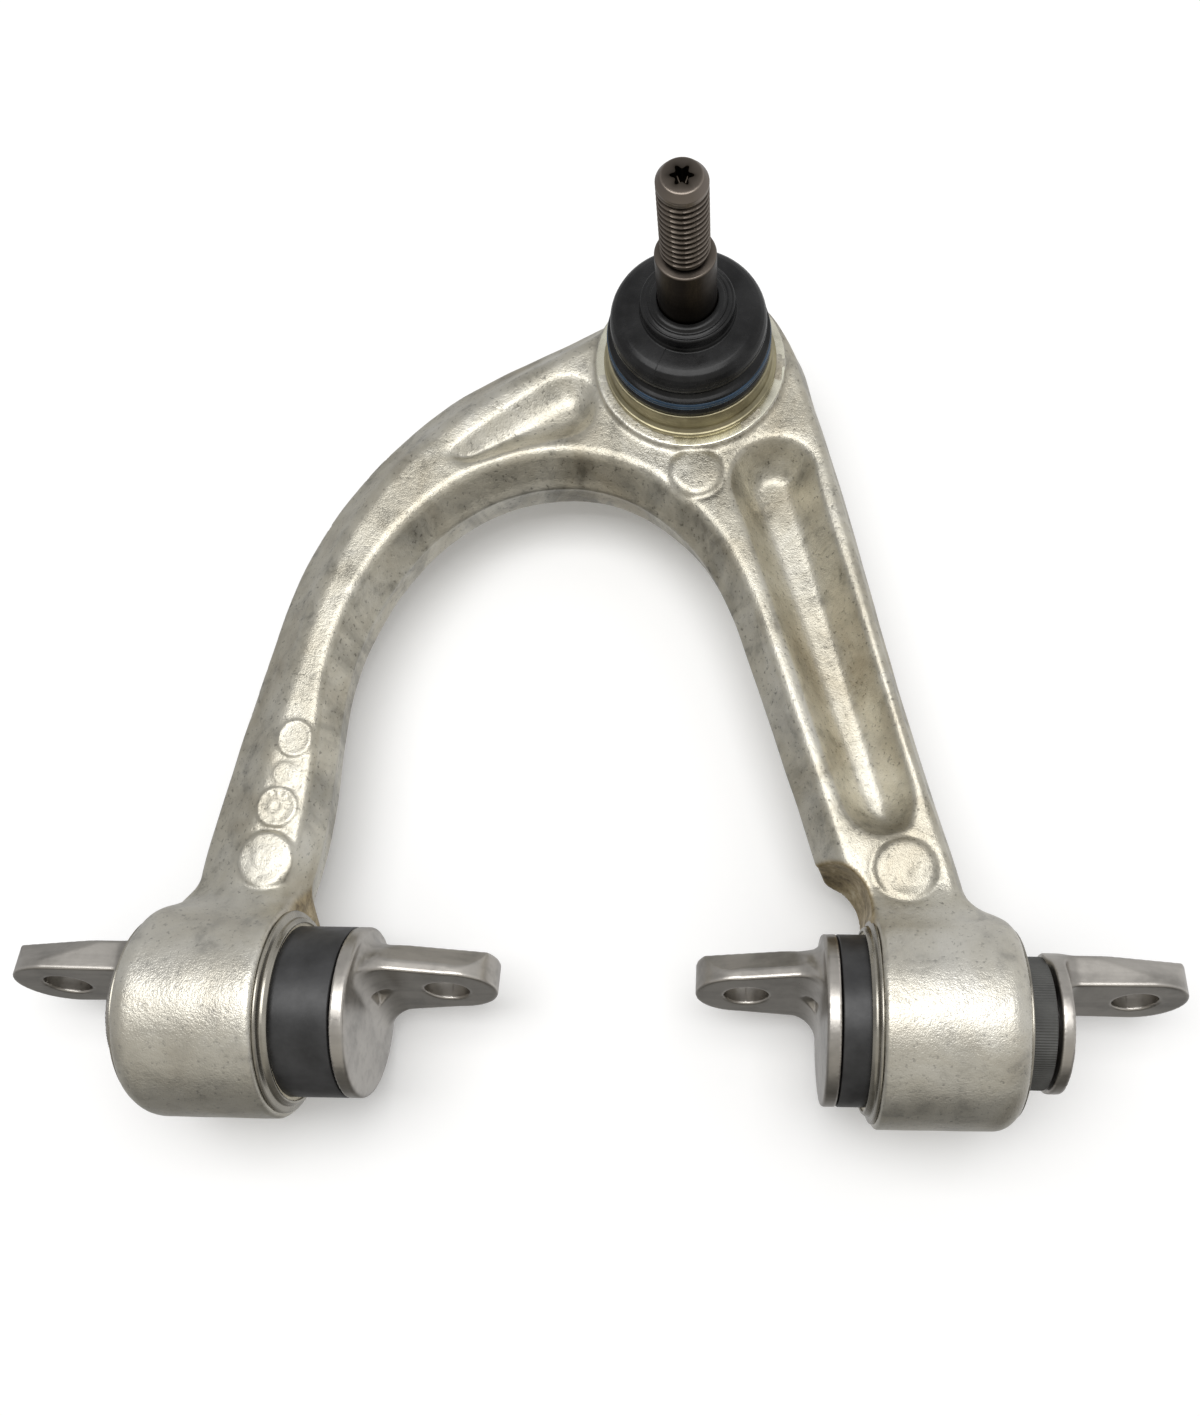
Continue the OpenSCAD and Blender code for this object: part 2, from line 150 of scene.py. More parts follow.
def polygon_field(poly, x, y, chain_only=False):
    """Signed distance to a closed outline, below 0 inside, and the outline's extra columns
    at the nearest point. With chain_only, the side that closes it has no distance of its own."""
    best = np.full(x.shape, 1e9)
    extra = [np.zeros(x.shape) for _ in range(poly.shape[1] - 2)]
    inside = np.zeros(x.shape, bool)
    n = len(poly)
    for i in range(n):
        a, b = poly[i], poly[(i + 1) % n]
        dx, dy = b[0] - a[0], b[1] - a[1]
        if dy:
            hit = (a[1] > y) != (b[1] > y)
            inside ^= hit & (x < dx * (y - a[1]) / dy + a[0])
        if chain_only and i == n - 1:
            continue
        t = np.clip(((x - a[0]) * dx + (y - a[1]) * dy) / (dx * dx + dy * dy), 0, 1)
        d = np.hypot(x - a[0] - t * dx, y - a[1] - t * dy)
        near = d < best
        best = np.where(near, d, best)
        for k, e in enumerate(extra):
            e[near] = (a[k + 2] + t * (b[k + 2] - a[k + 2]))[near]
    return np.where(inside, -best, best), extra


class Plan:
    """Values on a level grid, read back between its points."""

    def __init__(self, lo, hi, step):
        self.lo, self.step = np.array(lo, float), step
        self.n = [int(math.ceil((hi[k] - lo[k]) / step)) + 1 for k in range(2)]
        xs = self.lo[0] + step * np.arange(self.n[0])
        ys = self.lo[1] + step * np.arange(self.n[1])
        self.x, self.y = np.meshgrid(xs, ys, indexing="ij")
        self.fields = {}

    def read(self, name, x, y):
        f = self.fields[name]
        u = np.clip((x - self.lo[0]) / self.step, 0, self.n[0] - 1.001)
        v = np.clip((y - self.lo[1]) / self.step, 0, self.n[1] - 1.001)
        i, j = u.astype(int), v.astype(int)
        u, v = u - i, v - j
        return ((f[i, j] * (1 - u) + f[i + 1, j] * u) * (1 - v)
                + (f[i, j + 1] * (1 - u) + f[i + 1, j + 1] * u) * v)


def soft_step(d, width):
    """1 well below 0 and 0 well above it."""
    return 1 / (1 + np.exp(np.clip(d / width, -30, 30)))


def raised_line(d, half, edge=0.12):
    """1 along d = 0, falling to 0 on both sides."""
    return soft_step(np.abs(d) - half, edge)


def top_surface(x, y):
    """Height of the forging's top face, with its pockets, pads and rings."""
    h = np.full(x.shape, TOP_Z)
    for rim, depth, wall, power in POCKETS:
        d, _ = polygon_field(smooth_chain(rim, 5, closed=True), x, y)
        s = 0.5 * (-d - 0.35 + np.sqrt((-d - 0.35) ** 2 + 0.8))
        h -= depth * np.sin(np.pi / 2 * np.clip(s / wall, 0, 1)) ** power
    for px, py, r, rise in PADS:
        d = np.hypot(x - px, y - py) - r
        h += rise * soft_step(d, 0.3) - 0.3 * np.exp(-((d - 1.0) / 0.7) ** 2)
    # a small turned pad, a date dial with its ring of marks, and an oval pad
    h += 0.35 * soft_step(np.hypot(x - TURNED_X, y - TURNED_Y) - TURNED_R, 0.2)
    d = np.hypot(x - DIAL_X, y - DIAL_Y)
    turn = np.arctan2(y - DIAL_Y, x - DIAL_X)
    h += 0.45 * raised_line(d - 4.7, 0.3) + 0.4 * raised_line(d - 1.7, 0.25)
    h += 0.4 * raised_line(d - 3.3, 0.7) * raised_line(np.sin(DIAL_MARKS * turn), 0.25, 0.1)
    d = np.hypot((x - OVAL_X) / OVAL_SQUEEZE, y - OVAL_Y) - OVAL_R
    h += 0.4 * raised_line(d, 0.3)
    # a grid of small dots on the lower left pad
    gx, gy = ((v + 0.5) % DOT_PITCH - DOT_PITCH / 2 for v in (x - DOTS_X, y - DOTS_Y))
    near = np.hypot(x - DOTS_X, y - DOTS_Y - 0.3) < DOTS_R
    h += near * 0.3 * soft_step(np.hypot(gx, gy) - 0.4, 0.1)
    return h


plan = Plan((-104, -2), (104, 206), 0.4)
for name, outline, sign in (("outer", OUTER, 1), ("inner", INNER, -1)):
    distance, insets = polygon_field(smooth_chain(outline), plan.x, plan.y, chain_only=True)
    plan.fields[name] = sign * distance
    plan.fields[name + "_top"], plan.fields[name + "_bottom"] = insets
plan.fields["top"] = top_surface(plan.x, plan.y)

# long and short waves of the forging's skin: wave vector, phase, height
WAVES = [(rng.normal(size=3) * k, rng.uniform(0, 6.28), a)
         for k, a, count in ((0.09, 0.10, 5), (0.28, 0.045, 8)) for _ in range(count)]


def unevenness(x, y, z):
    return sum(a * np.sin(w[0] * x + w[1] * y + w[2] * z + p) for w, p, a in WAVES) * 0.5


def relief(x, y, z):
    """What is cut away round the sliding pins' large collars, below 0 where metal is removed."""
    rho, out = np.hypot(y, z), []
    for side in (-1, 1):
        u = side * x - HOUSING_X + HOUSING_L / 2
        out.append(np.maximum(np.maximum(rho - RELIEF_R, u + RELIEF_DEPTH), -u - RELIEF_REACH))
        out.append(np.hypot(rho - SCALLOP_AT_R, u + SCALLOP_BACK) - SCALLOP_R)
    return np.minimum.reduce(np.broadcast_arrays(*out))


def leg_side(x, y, z, name):
    """Side wall of the legs, leaning in above and below the parting line, with its flash."""
    d = plan.read(name, x, y)
    up = np.clip((z - PART_Z) / (TOP_Z - PART_Z), 0, 1.3)
    down = np.clip((PART_Z - z) / (PART_Z - BOTTOM_Z), 0, 1.3)
    a, b = plan.read(name + "_top", x, y), plan.read(name + "_bottom", x, y)
    lean = np.where(z > PART_Z, a / (TOP_Z - PART_Z), b / (PART_Z - BOTTOM_Z))
    flash = FLASH_RISE * raised_line(z - PART_Z - FLASH_UP, FLASH_HALF, FLASH_EDGE)
    return (d + a * up + b * down) / np.sqrt(1 + lean**2) - flash


def forging(x, y, z):
    top = (z - plan.read("top", x, y)) * 0.9
    walls = cut(leg_side(x, y, z, "outer"), leg_side(x, y, z, "inner"), 0.8)
    legs = cut(cut(walls, top, 1.7), cut(BOTTOM_Z - z, 4 - y, 0.5), 2.0)
    to_ball = np.hypot(x - BALL_X, y - BALL_Y)
    for r, face, foot, edge, fillet in ((EYE_R, TOP_Z, BOTTOM_Z - 1, 1.2, 1.2),
                                        (MACHINED_R, MACHINED_Z, BOTTOM_Z, 0.35, 0.9)):
        legs = join(legs, cut(to_ball - r, np.maximum(z - face, foot - z), edge), fillet)
    for px, py, r in SIDE_PADS:
        disc = cut(np.hypot(x - px, y - py) - r, top, 0.35)
        legs = join(legs, np.maximum(disc, -2 - z), 0.7)
    body = legs
    rho = np.hypot(y, z)
    for side in (-1, 1):
        u = side * x - HOUSING_X
        drum = cut(rho - HOUSING_R, u - HOUSING_L / 2, HOUSING_ROUND)
        drum = cut(drum, -u - HOUSING_L / 2, 1.1)
        body = join(body, drum, 8.0)
    body = body + unevenness(x, y, z)
    gap = relief(x, y, z) + 0.25 * unevenness(3.1 * x, 3.1 * y, 3.1 * z)
    body = cut(body, -gap, 0.7)
    body = cut(body, EYE_BORE - to_ball, 0.4)
    return cut(body, SLEEVE_R - rho, 0.5)


# ---------------------------------------------------------------- surfaces from fields
def surface_net(f, lo, hi, step):
    """Points and quads of the surface where f is 0, on a net with cells of size step."""
    axes = [np.arange(lo[k], hi[k] + step, step) for k in range(3)]
    g = f(*np.ix_(*axes)).astype(np.float32)
    g = np.ascontiguousarray(np.broadcast_to(g, [len(a) for a in axes]))
    inside = g < 0
    m = [s - 1 for s in g.shape]
    corners = [(i, j, k) for i in (0, 1) for j in (0, 1) for k in (0, 1)]
    count = np.zeros(m, np.int8)
    for i, j, k in corners:
        count += inside[i:i + m[0], j:j + m[1], k:k + m[2]]
    cells = np.argwhere((count > 0) & (count < 8))
    index = np.full(m, -1, np.int64)
    index[tuple(cells.T)] = np.arange(len(cells))
    total, hits = np.zeros((len(cells), 3)), np.zeros(len(cells))
    for c in corners:
        for axis in range(3):
            if c[axis]:
                continue
            d = list(c)
            d[axis] = 1
            fa = g[tuple((cells + c).T)].astype(float)
            fb = g[tuple((cells + d).T)].astype(float)
            cross = (fa < 0) != (fb < 0)
            t = np.where(cross, fa / np.where(cross, fa - fb, 1), 0)
            p = np.array(c, float) + t[:, None] * (np.array(d) - np.array(c))
            total += p * cross[:, None]
            hits += cross
    verts = np.array([a[0] for a in axes]) + step * (cells + total / hits[:, None])
    quads = []
    for axis in range(3):
        b, c = (axis + 1) % 3, (axis + 2) % 3
        one, two = [slice(None)] * 3, [slice(None)] * 3
        one[axis], two[axis] = slice(0, -1), slice(1, None)
        first, second = inside[tuple(one)], inside[tuple(two)]
        at = np.argwhere(first != second)
        at = at[(at[:, b] > 0) & (at[:, c] > 0) & (at[:, b] < m[b]) & (at[:, c] < m[c])]
        flip = ~first[tuple(at.T)]
        ring = []
        for db, dc in ((-1, -1), (0, -1), (0, 0), (-1, 0)):
            q = at.copy()
            q[:, b] += db
            q[:, c] += dc
            ring.append(index[tuple(q.T)])
        ring = np.array(ring).T
        ring[flip] = ring[flip][:, ::-1]
        quads.append(ring)
    quads = np.concatenate(quads)
    # each point is pulled onto the surface, by at most about a third of a cell at a time
    for _ in range(3):
        value, slope = gradient(f, verts)
        move = slope * (value / np.maximum((slope**2).sum(1), 0.3))[:, None]
        size = np.linalg.norm(move, axis=1)
        verts -= move * np.minimum(1, 0.35 * step / np.maximum(size, 1e-9))[:, None]
    return verts, quads


def gradient(f, p, h=0.06):
    """The field at each point, and how fast it grows along x, y and z."""
    here = f(*p.T)
    slope = np.empty_like(p)
    for k in range(3):
        q = p.copy()
        q[:, k] += h
        slope[:, k] = (f(*q.T) - here) / h
    return here, slope


def normals(f, p):
    _, slope = gradient(f, p)
    return slope / np.maximum(np.linalg.norm(slope, axis=1), 1e-6)[:, None]


# ---------------------------------------------------------------- mesh helpers
def new_mesh(name, verts, faces, material, body=None, stands_for=(), angle=35):
    """A smooth-shaded object from points in mm, with edges sharper than angle kept."""
    me = bpy.data.meshes.new(name)
    verts = np.asarray(verts, float) * MM
    if isinstance(faces, np.ndarray):
        me.vertices.add(len(verts))
        me.vertices.foreach_set("co", verts.astype(np.float32).ravel())
        n, k = faces.shape
        me.loops.add(n * k)
        me.loops.foreach_set("vertex_index", faces.astype(np.int32).ravel())
        me.polygons.add(n)
        me.polygons.foreach_set("loop_start", np.arange(0, n * k, k, dtype=np.int32))
        me.polygons.foreach_set("loop_total", np.full(n, k, np.int32))
        me.update(calc_edges=True)
    else:
        me.from_pydata([tuple(v) for v in verts], [], faces)
    me.validate()
    me.shade_smooth()
    if angle:
        me.set_sharp_from_angle(angle=math.radians(angle))
    ob = bpy.data.objects.new(name, me)
    bpy.context.scene.collection.objects.link(ob)
    me.materials.append(material)
    if body:
        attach(ob, body)
    if stands_for:
        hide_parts(*stands_for)
    return ob


def point_values(ob, name, values):
    ob.data.attributes.new(name, "FLOAT", "POINT").data.foreach_set(
        "value", np.asarray(values, np.float32))


def softened(points, radius, closed=True, steps=4):
    """Corners of a profile rounded off."""
    p = [np.array(q, float) for q in points]
    n, out = len(p), []
    for i, b in enumerate(p):
        if not closed and i in (0, n - 1):
            out.append(b)
            continue
        a, c = p[i - 1], p[(i + 1) % n]
        la, lc = np.linalg.norm(a - b), np.linalg.norm(c - b)
        cosine = np.dot(a - b, c - b) / (la * lc)
        if cosine < -0.985:
            out.append(b)
            continue
        s = min(radius, 0.42 * la, 0.42 * lc)
        q0, q1 = b + (a - b) * s / la, b + (c - b) * s / lc
        for t in np.linspace(0, 1, steps + 1):
            out.append((1 - t) ** 2 * q0 + 2 * t * (1 - t) * b + t**2 * q1)
    return out


def spun(prof, n):
    """Radius, height and angle of every point of a profile turned in n steps."""
    turn = np.linspace(0, 2 * math.pi, n, endpoint=False)
    return (np.repeat(prof[:, :1], n, 1), np.repeat(prof[:, 1:], n, 1),
            np.repeat(turn[None, :], len(prof), 0))


def from_polar(r, z, t):
    """Points in x, y, z of radii, heights and angles."""
    return np.stack([r * np.cos(t), r * np.sin(t), z], -1).reshape(-1, 3)


def band(low, high, n):
    """Quads between two rings of n points that start at the given numbers."""
    j = np.arange(n)
    k = (j + 1) % n
    return np.stack([low + j, low + k, high + k, high + j], -1).tolist()


def lathe(profile, radius, closed=True, n=160, shape=None):
    """Points and faces of a turned piece about +Z. The profile is (r, z); an open one starts
    and ends on the axis."""
    prof = np.array(softened(profile, radius, closed), float)
    r, z, t = spun(prof, n)
    if shape:
        r, z = shape(r, z, t)
    rows = len(prof)
    faces = []
    for i in range(rows if closed else rows - 1):
        faces += band(i * n, (i + 1) % rows * n, n)
    area = np.sum(prof[:, 0] * np.roll(prof[:, 1], -1) - np.roll(prof[:, 0], -1) * prof[:, 1])
    if area < 0:
        faces = [f[::-1] for f in faces]
    if not closed:
        for row in (0, rows - 1):
            faces.append([row * n + j for j in range(n)])
    return from_polar(r, z, t), faces


def to_ball(v):
    """From a turned piece's own axis to the ball joint's."""
    return v + np.array([BALL_X, BALL_Y, 0])


def to_housing(v, which, slid=0.0):
    """From a turned piece's own axes to the pivot axis, +Z pointing to the outer end."""
    side = SIDE[which]
    return np.stack([side * (HOUSING_X - slid + v[:, 2]), v[:, 1], -side * v[:, 0]], -1)


# ---------------------------------------------------------------- materials
class Shader:
    """A material's nodes, made in few words."""

    def __init__(self, name, color, metallic=0.0, roughness=0.5, **sockets):
        self.m = bpy.data.materials.new(name)
        self.m.use_nodes = True
        self.t = self.m.node_tree
        self.b = self.t.nodes["Principled BSDF"]
        self.b.inputs["Base Color"].default_value = (*color, 1)
        self.b.inputs["Metallic"].default_value = metallic
        self.b.inputs["Roughness"].default_value = roughness
        for k, v in sockets.items():
            self.b.inputs[k.replace("_", " ")].default_value = v
        self.coord = self.t.nodes.new("ShaderNodeTexCoord").outputs["Object"]

    def node(self, kind, values=None, out=0, **props):
        n = self.t.nodes.new("ShaderNode" + kind)
        for k, v in props.items():
            setattr(n, k, v)
        for k, v in (values or {}).items():
            if isinstance(v, bpy.types.NodeSocket):
                self.t.links.new(v, n.inputs[k])
            else:
                n.inputs[k].default_value = v
        return n.outputs[out]

    def noise(self, scale, detail=4.0, rough=0.55, stretch=None, distortion=0.0):
        at = self.coord
        if stretch:
            at = self.node("Mapping", {"Vector": at, "Scale": stretch})
        return self.node("TexNoise", {"Vector": at, "Scale": scale, "Detail": detail,
                                      "Roughness": rough, "Distortion": distortion})

    def ramp(self, fac, *stops):
        """Stops of (position, grey level or colour)."""
        n = self.t.nodes.new("ShaderNodeValToRGB")
        self.t.links.new(fac, n.inputs["Fac"])
        e = n.color_ramp.elements
        while len(e) < len(stops):
            e.new(0.5)
        for k, (at, c) in enumerate(stops):
            e[k].position = at
            e[k].color = (*c, 1) if isinstance(c, tuple) else (c, c, c, 1)
        return n.outputs["Color"]

    def mix(self, fac, a, b, how="MIX"):
        n = self.t.nodes.new("ShaderNodeMix")
        n.data_type, n.blend_type = "RGBA", how
        for socket, v in ((n.inputs[0], fac), (n.inputs[6], a), (n.inputs[7], b)):
            if isinstance(v, bpy.types.NodeSocket):
                self.t.links.new(v, socket)
            else:
                socket.default_value = (*v, 1) if isinstance(v, tuple) else v
        return n.outputs[2]

    def math(self, op, a, b=0.5, clamp=False):
        n = self.t.nodes.new("ShaderNodeMath")
        n.operation, n.use_clamp = op, clamp
        for k, v in enumerate((a, b)):
            if isinstance(v, bpy.types.NodeSocket):
                self.t.links.new(v, n.inputs[k])
            else:
                n.inputs[k].default_value = v
        return n.outputs[0]

    def attribute(self, name):
        return self.node("Attribute", attribute_name=name, out=2)

    def link(self, out, socket):
        self.t.links.new(out, self.b.inputs[socket])

    def bump(self, *layers):
        """Layers of (height, strength, distance in mm)."""
        normal = None
        for height, strength, distance in layers:
            values = {"Height": height, "Strength": strength, "Distance": distance * MM}
            if normal is not None:
                values["Normal"] = normal
            normal = self.node("Bump", values)
        self.link(normal, "Normal")


def scaled(color, factor):
    return tuple(min(1, c * factor) for c in color)


def forged_aluminium():
    s = Shader("forged_aluminium", (0.6, 0.58, 0.52), 0.88, 0.4)
    cloud, blotch = s.noise(38, 5, 0.6, distortion=0.6), s.noise(120, 6, 0.65, distortion=0.4)
    speck, grit = s.noise(900, 3, 0.6), s.noise(2600, 2, 0.6)
    tone = s.ramp(cloud, (0.32, (0.44, 0.40, 0.315)), (0.5, (0.57, 0.54, 0.455)),
                  (0.7, (0.66, 0.64, 0.575)))
    tone = s.mix(0.85, tone, s.ramp(blotch, (0.32, 0.50), (0.44, 0.86), (0.56, 1.0)), "MULTIPLY")
    tone = s.mix(0.75, tone, s.ramp(speck, (0.30, 0.35), (0.41, 1.0)), "MULTIPLY")
    streak = s.ramp(s.noise(55, 4, 0.6, stretch=(1, 1, 0.25), distortion=0.9),
                    (0.36, 0.5), (0.50, 1.2))
    streaked = s.mix(1.0, tone, streak, "MULTIPLY")
    tone = s.mix(s.math("MULTIPLY", s.attribute("wall"), 0.7), tone, streaked)
    hollow_shade_and_dirt, edge = s.attribute("hollow_shade_and_dirt"), s.attribute("edge")
    # painted shade, with some dirt: the hollows are darkened towards brown
    tone = s.mix(s.math("MULTIPLY", hollow_shade_and_dirt, 0.4, True), tone, (0.24, 0.21, 0.15))
    # wear and a painted highlight lighten the edges; the housings get a little of the same
    # lighter tone
    tone = s.mix(s.math("MULTIPLY", edge, 0.55, True), tone, (0.90, 0.88, 0.83))
    scallop = s.attribute("scallop")
    rough_gold = s.ramp(s.noise(260, 5, 0.7), (0.3, (0.16, 0.12, 0.065)),
                        (0.55, (0.46, 0.37, 0.22)), (0.75, (0.72, 0.64, 0.46)))
    s.link(s.mix(scallop, tone, rough_gold), "Base Color")
    rough = s.math("ADD", s.math("MULTIPLY", blotch, 0.22), 0.27)
    rough = s.math("SUBTRACT", rough, s.math("MULTIPLY", edge, 0.08))
    s.link(s.math("ADD", rough, s.math("MULTIPLY", scallop, 0.15)), "Roughness")
    s.bump((grit, 0.5, 0.16), (speck, 0.5, 0.2), (s.noise(240, 4, 0.6), 0.4, 0.26))
    return s.m


def steel(name, color, roughness, scale=300, grain=0.12, marks=0.5):
    """Plain steel with fine scratches, lighter where the mesh says "edge": a painted highlight.
    """
    s = Shader(name, color, 1.0, roughness)
    cloud, fine = s.noise(scale * 0.3, 4, 0.6), s.noise(scale * 4, 3, 0.6)
    tone = s.ramp(cloud, (0.3, scaled(color, 0.72)), (0.5, color), (0.72, scaled(color, 1.15)))
    scratch = s.ramp(s.noise(scale, 3, 0.5, stretch=(0.06, 1.0, 1.0)), (0.34, 0.78), (0.5, 1.0))
    tone = s.mix(marks, tone, scratch, "MULTIPLY")
    # painted highlight: lighter steel along the edges that the mesh marks
    bare_steel_and_glint = s.math("MULTIPLY", s.attribute("edge"), 0.6, True)
    s.link(s.mix(bare_steel_and_glint, tone, scaled(color, 1.8)), "Base Color")
    s.link(s.math("ADD", s.math("MULTIPLY", fine, 0.18), roughness - 0.09), "Roughness")
    lines = s.noise(scale, 3, 0.5, stretch=(0.05, 1.0, 1.0))
    s.bump((fine, grain, 0.06), (lines, grain, 0.08))
    return s.m


def turned_steel(name, color, roughness, axis, bare_steel_and_glint=None):
    """Steel with the fine rings that a lathe leaves, about a line along z or x. The colour
    bright, lighter bare steel and a painted highlight, shows where the mesh says "bright"."""
    s = Shader(name, color, 1.0, roughness)
    tone = s.ramp(s.noise(90, 4, 0.6), (0.3, scaled(color, 0.65)), (0.52, color),
                  (0.75, scaled(color, 1.2)))
    stretch = (0.02, 0.02, 1.0) if axis == "z" else (1.0, 0.02, 0.02)
    ring = s.noise(1900, 2, 0.5, stretch=stretch)
    tone = s.mix(0.35, tone, s.ramp(ring, (0.35, 0.6), (0.6, 1.0)), "MULTIPLY")
    if bare_steel_and_glint:
        tone = s.mix(s.attribute("bare_steel_and_glint"), tone, bare_steel_and_glint)
    s.link(tone, "Base Color")
    s.link(s.math("ADD", s.math("MULTIPLY", s.noise(700, 3), 0.2), roughness - 0.1), "Roughness")
    s.bump((ring, 0.2, 0.05), (s.noise(1500, 3), 0.1, 0.04))
    return s.m


def plastic(name, color, roughness, fleck=0.25, **sockets):
    s = Shader(name, color, 0.0, roughness, **sockets)
    dark = tuple(c * (1 - fleck) for c in color)
    light = tuple(c * (1 + fleck) + 0.012 for c in color)
    s.link(s.ramp(s.noise(110, 4, 0.6), (0.35, dark), (0.65, light)), "Base Color")
    fine = s.math("MULTIPLY", s.noise(500, 4, 0.6), 0.22)
    s.link(s.math("ADD", fine, roughness - 0.11), "Roughness")
    s.bump((s.noise(1400, 3, 0.6), 0.12, 0.06), (s.noise(160, 3, 0.5), 0.1, 0.15))
    return s.m


MAT = {
    "forging": forged_aluminium(),
    "eye_face": turned_steel("machined_aluminium", (0.86, 0.83, 0.69), 0.27, "z"),
    "plated": turned_steel("olive_plating", (0.40, 0.36, 0.235), 0.36, "z"),
    "sleeve": turned_steel("sleeve_steel", (0.44, 0.415, 0.36), 0.28, "x"),
    "pin": steel("pin_steel", (0.48, 0.455, 0.42), 0.32, grain=0.2, marks=0.7),
    # the stud's last colour, lighter steel on the crests and two turned edges, is partly a
    # painted highlight
    "stud": turned_steel("stud_steel", (0.056, 0.046, 0.037), 0.34, "z", (0.25, 0.215, 0.185)),
    "grey": steel("plain_steel", (0.42, 0.42, 0.43), 0.4),
    "drum": plastic("drum_black", (0.022, 0.022, 0.023), 0.42),
    "tail": plastic("tail_grey", (0.058, 0.058, 0.054), 0.45),
    "rubber": plastic("boot_rubber", (0.0035, 0.0035, 0.004), 0.27, 0.2,
                      Specular_IOR_Level=0.28),
    "blue": plastic("clip_blue", (0.007, 0.034, 0.072), 0.3),
    "acetal": plastic("acetal", (0.66, 0.60, 0.46), 0.4, 0.1),
}

# ---------------------------------------------------------------- forging
VOXEL = 0.7
verts, quads = surface_net(forging, (-104.2, -28.3, -28.3), (107.3, 206.0, 28.3), VOXEL)
arm = new_mesh("forging", verts, quads, MAT["forging"], "arm",
               ["arm_forging"], angle=0)
normal = normals(forging, verts)
from_axis = np.hypot(verts[:, 1], verts[:, 2])


def probe(f, points, direction, depth):
    """The field at the given depth off the surface, over that depth: 1 over flat ground."""
    return f(*(points + direction * depth).T) / depth


# painted shade and dirt in the hollows, wear and a painted highlight on the edges, and a little
# wear on all of the housings
point_values(arm, "hollow_shade_and_dirt", np.clip(1.15 * (1 - probe(forging, verts, normal, 3.2)) - 0.1, 0, 1))
worn = 0.42 * np.clip((28.5 - from_axis) / 1.5, 0, 1)
point_values(arm, "edge",
             np.clip(1.6 * (1 - probe(forging, verts, normal, -1.3)) - 0.25, worn, 1))
point_values(arm, "scallop", np.exp(-(np.minimum(relief(*verts.T) - 0.1, 3) / 0.7) ** 2)
             * (from_axis > 22.5) * (verts[:, 1] > 12))
point_values(arm, "wall", np.clip(1.3 - 1.6 * np.abs(normal[:, 2]), 0, 1)
             * np.clip((verts[:, 1] - 24) / 10, 0, 1))

# the turned ring round the ball joint, standing a hair over the forging's own face
FACE_IN, FACE_OUT, FACE_FOOT, FACE_TOP = 22.6, 25.45, 6.0, MACHINED_Z + FACE_RISE
v, f = lathe([(FACE_IN, FACE_FOOT), (FACE_OUT, FACE_FOOT), (FACE_OUT, FACE_TOP),
              (FACE_IN, FACE_TOP)], 0.3)
new_mesh("eye_face", to_ball(v), f, MAT["eye_face"], "arm")

# ---------------------------------------------------------------- ball joint
v, f = lathe([(18.05, -17.2), (18.05, -18), (21, -18), (21, 8), (23.1, 8), (23.1, 9.4),
              (22.6, 9.5), (21.9, 10.4), (21.9, 15.2), (19.4, 15.2), (19.4, 19.6), (17.0, 19.6),
              (11.8, 10.5), (11.8, 8.9), (18.05, 8.9)], 0.3)
new_mesh("ball_housing_turned", to_ball(v), f, MAT["plated"], "arm",
         ["ball_housing"])
v, f = lathe([(0.01, -16.5), (10.4, -16.5), (11.0, -15.9), (11.2, -15.5), (17.9, -15.5),
              (17.9, -13.6), (0.01, -13.6)], 0.4, closed=False, n=96)
new_mesh("bottom_cap", to_ball(v), f, MAT["plated"], "arm", ["bottom_cover"])

# The boot is one skin in two pieces, split at SPLIT_Z.
FIXED_Z, SPLIT_Z, NECK_Z = 19.5, 24.2, 28.6
BOOT = [(19.45, 15.25), (21.35, 15.25), (21.5, 16.2), (21.3, 17.2), (20.35, 17.3), (20.35, 19.5),
        (21.1, 19.55), (21.1, 20.2), (20.0, 20.7), (19.3, 21.5), (19.75, 22.3), (20.1, 22.9),
        (20.1, SPLIT_Z), (19.85, 25.4), (19.3, 26.5), (18.4, 27.3), (17.2, 27.8), (15.4, 28.1),
        (12.35, 28.2)]
BOOT_NECK = [(12.2, 28.8), (11.95, 29.2), (11.9, 31.4), (11.5, 31.7), (11.1, 31.5),
             (10.7, 31.75), (10.2, 31.9), (9.9, 31.75), (9.5, 31.95), (9.2, 32.4), (8.6, 32.6),
             (7.75, 32.6), (7.55, 32.3)]
BOOT_INSIDE = [(7.55, NECK_Z), (9.6, 27.2), (15.2, 26.6), (17.2, 25.6), (18.1, SPLIT_Z),
               (18.1, 21.6), (19.45, 20.2)]
SPLIT, INSIDE_SPLIT = BOOT.index((20.1, SPLIT_Z)), BOOT_INSIDE.index((18.1, SPLIT_Z))
LINE_FROM, LINE_HALF, LINE_RISE, LINE_FOOT = 9, 0.22, 0.13, -0.12
MOULD_LINE = math.radians(-115)


def boot_bumps(r, z, t):
    """The slight unevenness of moulded rubber."""
    return r + 0.05 * np.sin(3 * t + 0.6) * (z > 20), z + 0.06 * np.sin(2 * t + 1.0) * (z > 24)


def bent(ob, lower, upper, start_z, end_z):
    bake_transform(ob)


def mould_line(profile):
    """A fine raised line down the boot, where its mould closed."""
    p = smooth_chain(np.array(profile, float))
    d = np.gradient(p, axis=0)
    out = np.stack([d[:, 1], -d[:, 0]], -1) / np.linalg.norm(d, axis=1)[:, None]
    rows = []
    for across, lift in ((-LINE_HALF, LINE_FOOT), (0.0, LINE_RISE), (LINE_HALF, LINE_FOOT)):
        q = p + out * lift
        rows.append(from_polar(q[:, 0], q[:, 1], MOULD_LINE + across / p[:, 0]))
    n = len(p)
    faces = [[a * n + i, a * n + i + 1, b * n + i + 1, b * n + i]
             for a, b in ((0, 1), (1, 2), (2, 0)) for i in range(n - 1)]
    faces += [[0, n, 2 * n], [3 * n - 1, 2 * n - 1, n - 1]]
    return np.concatenate(rows), faces


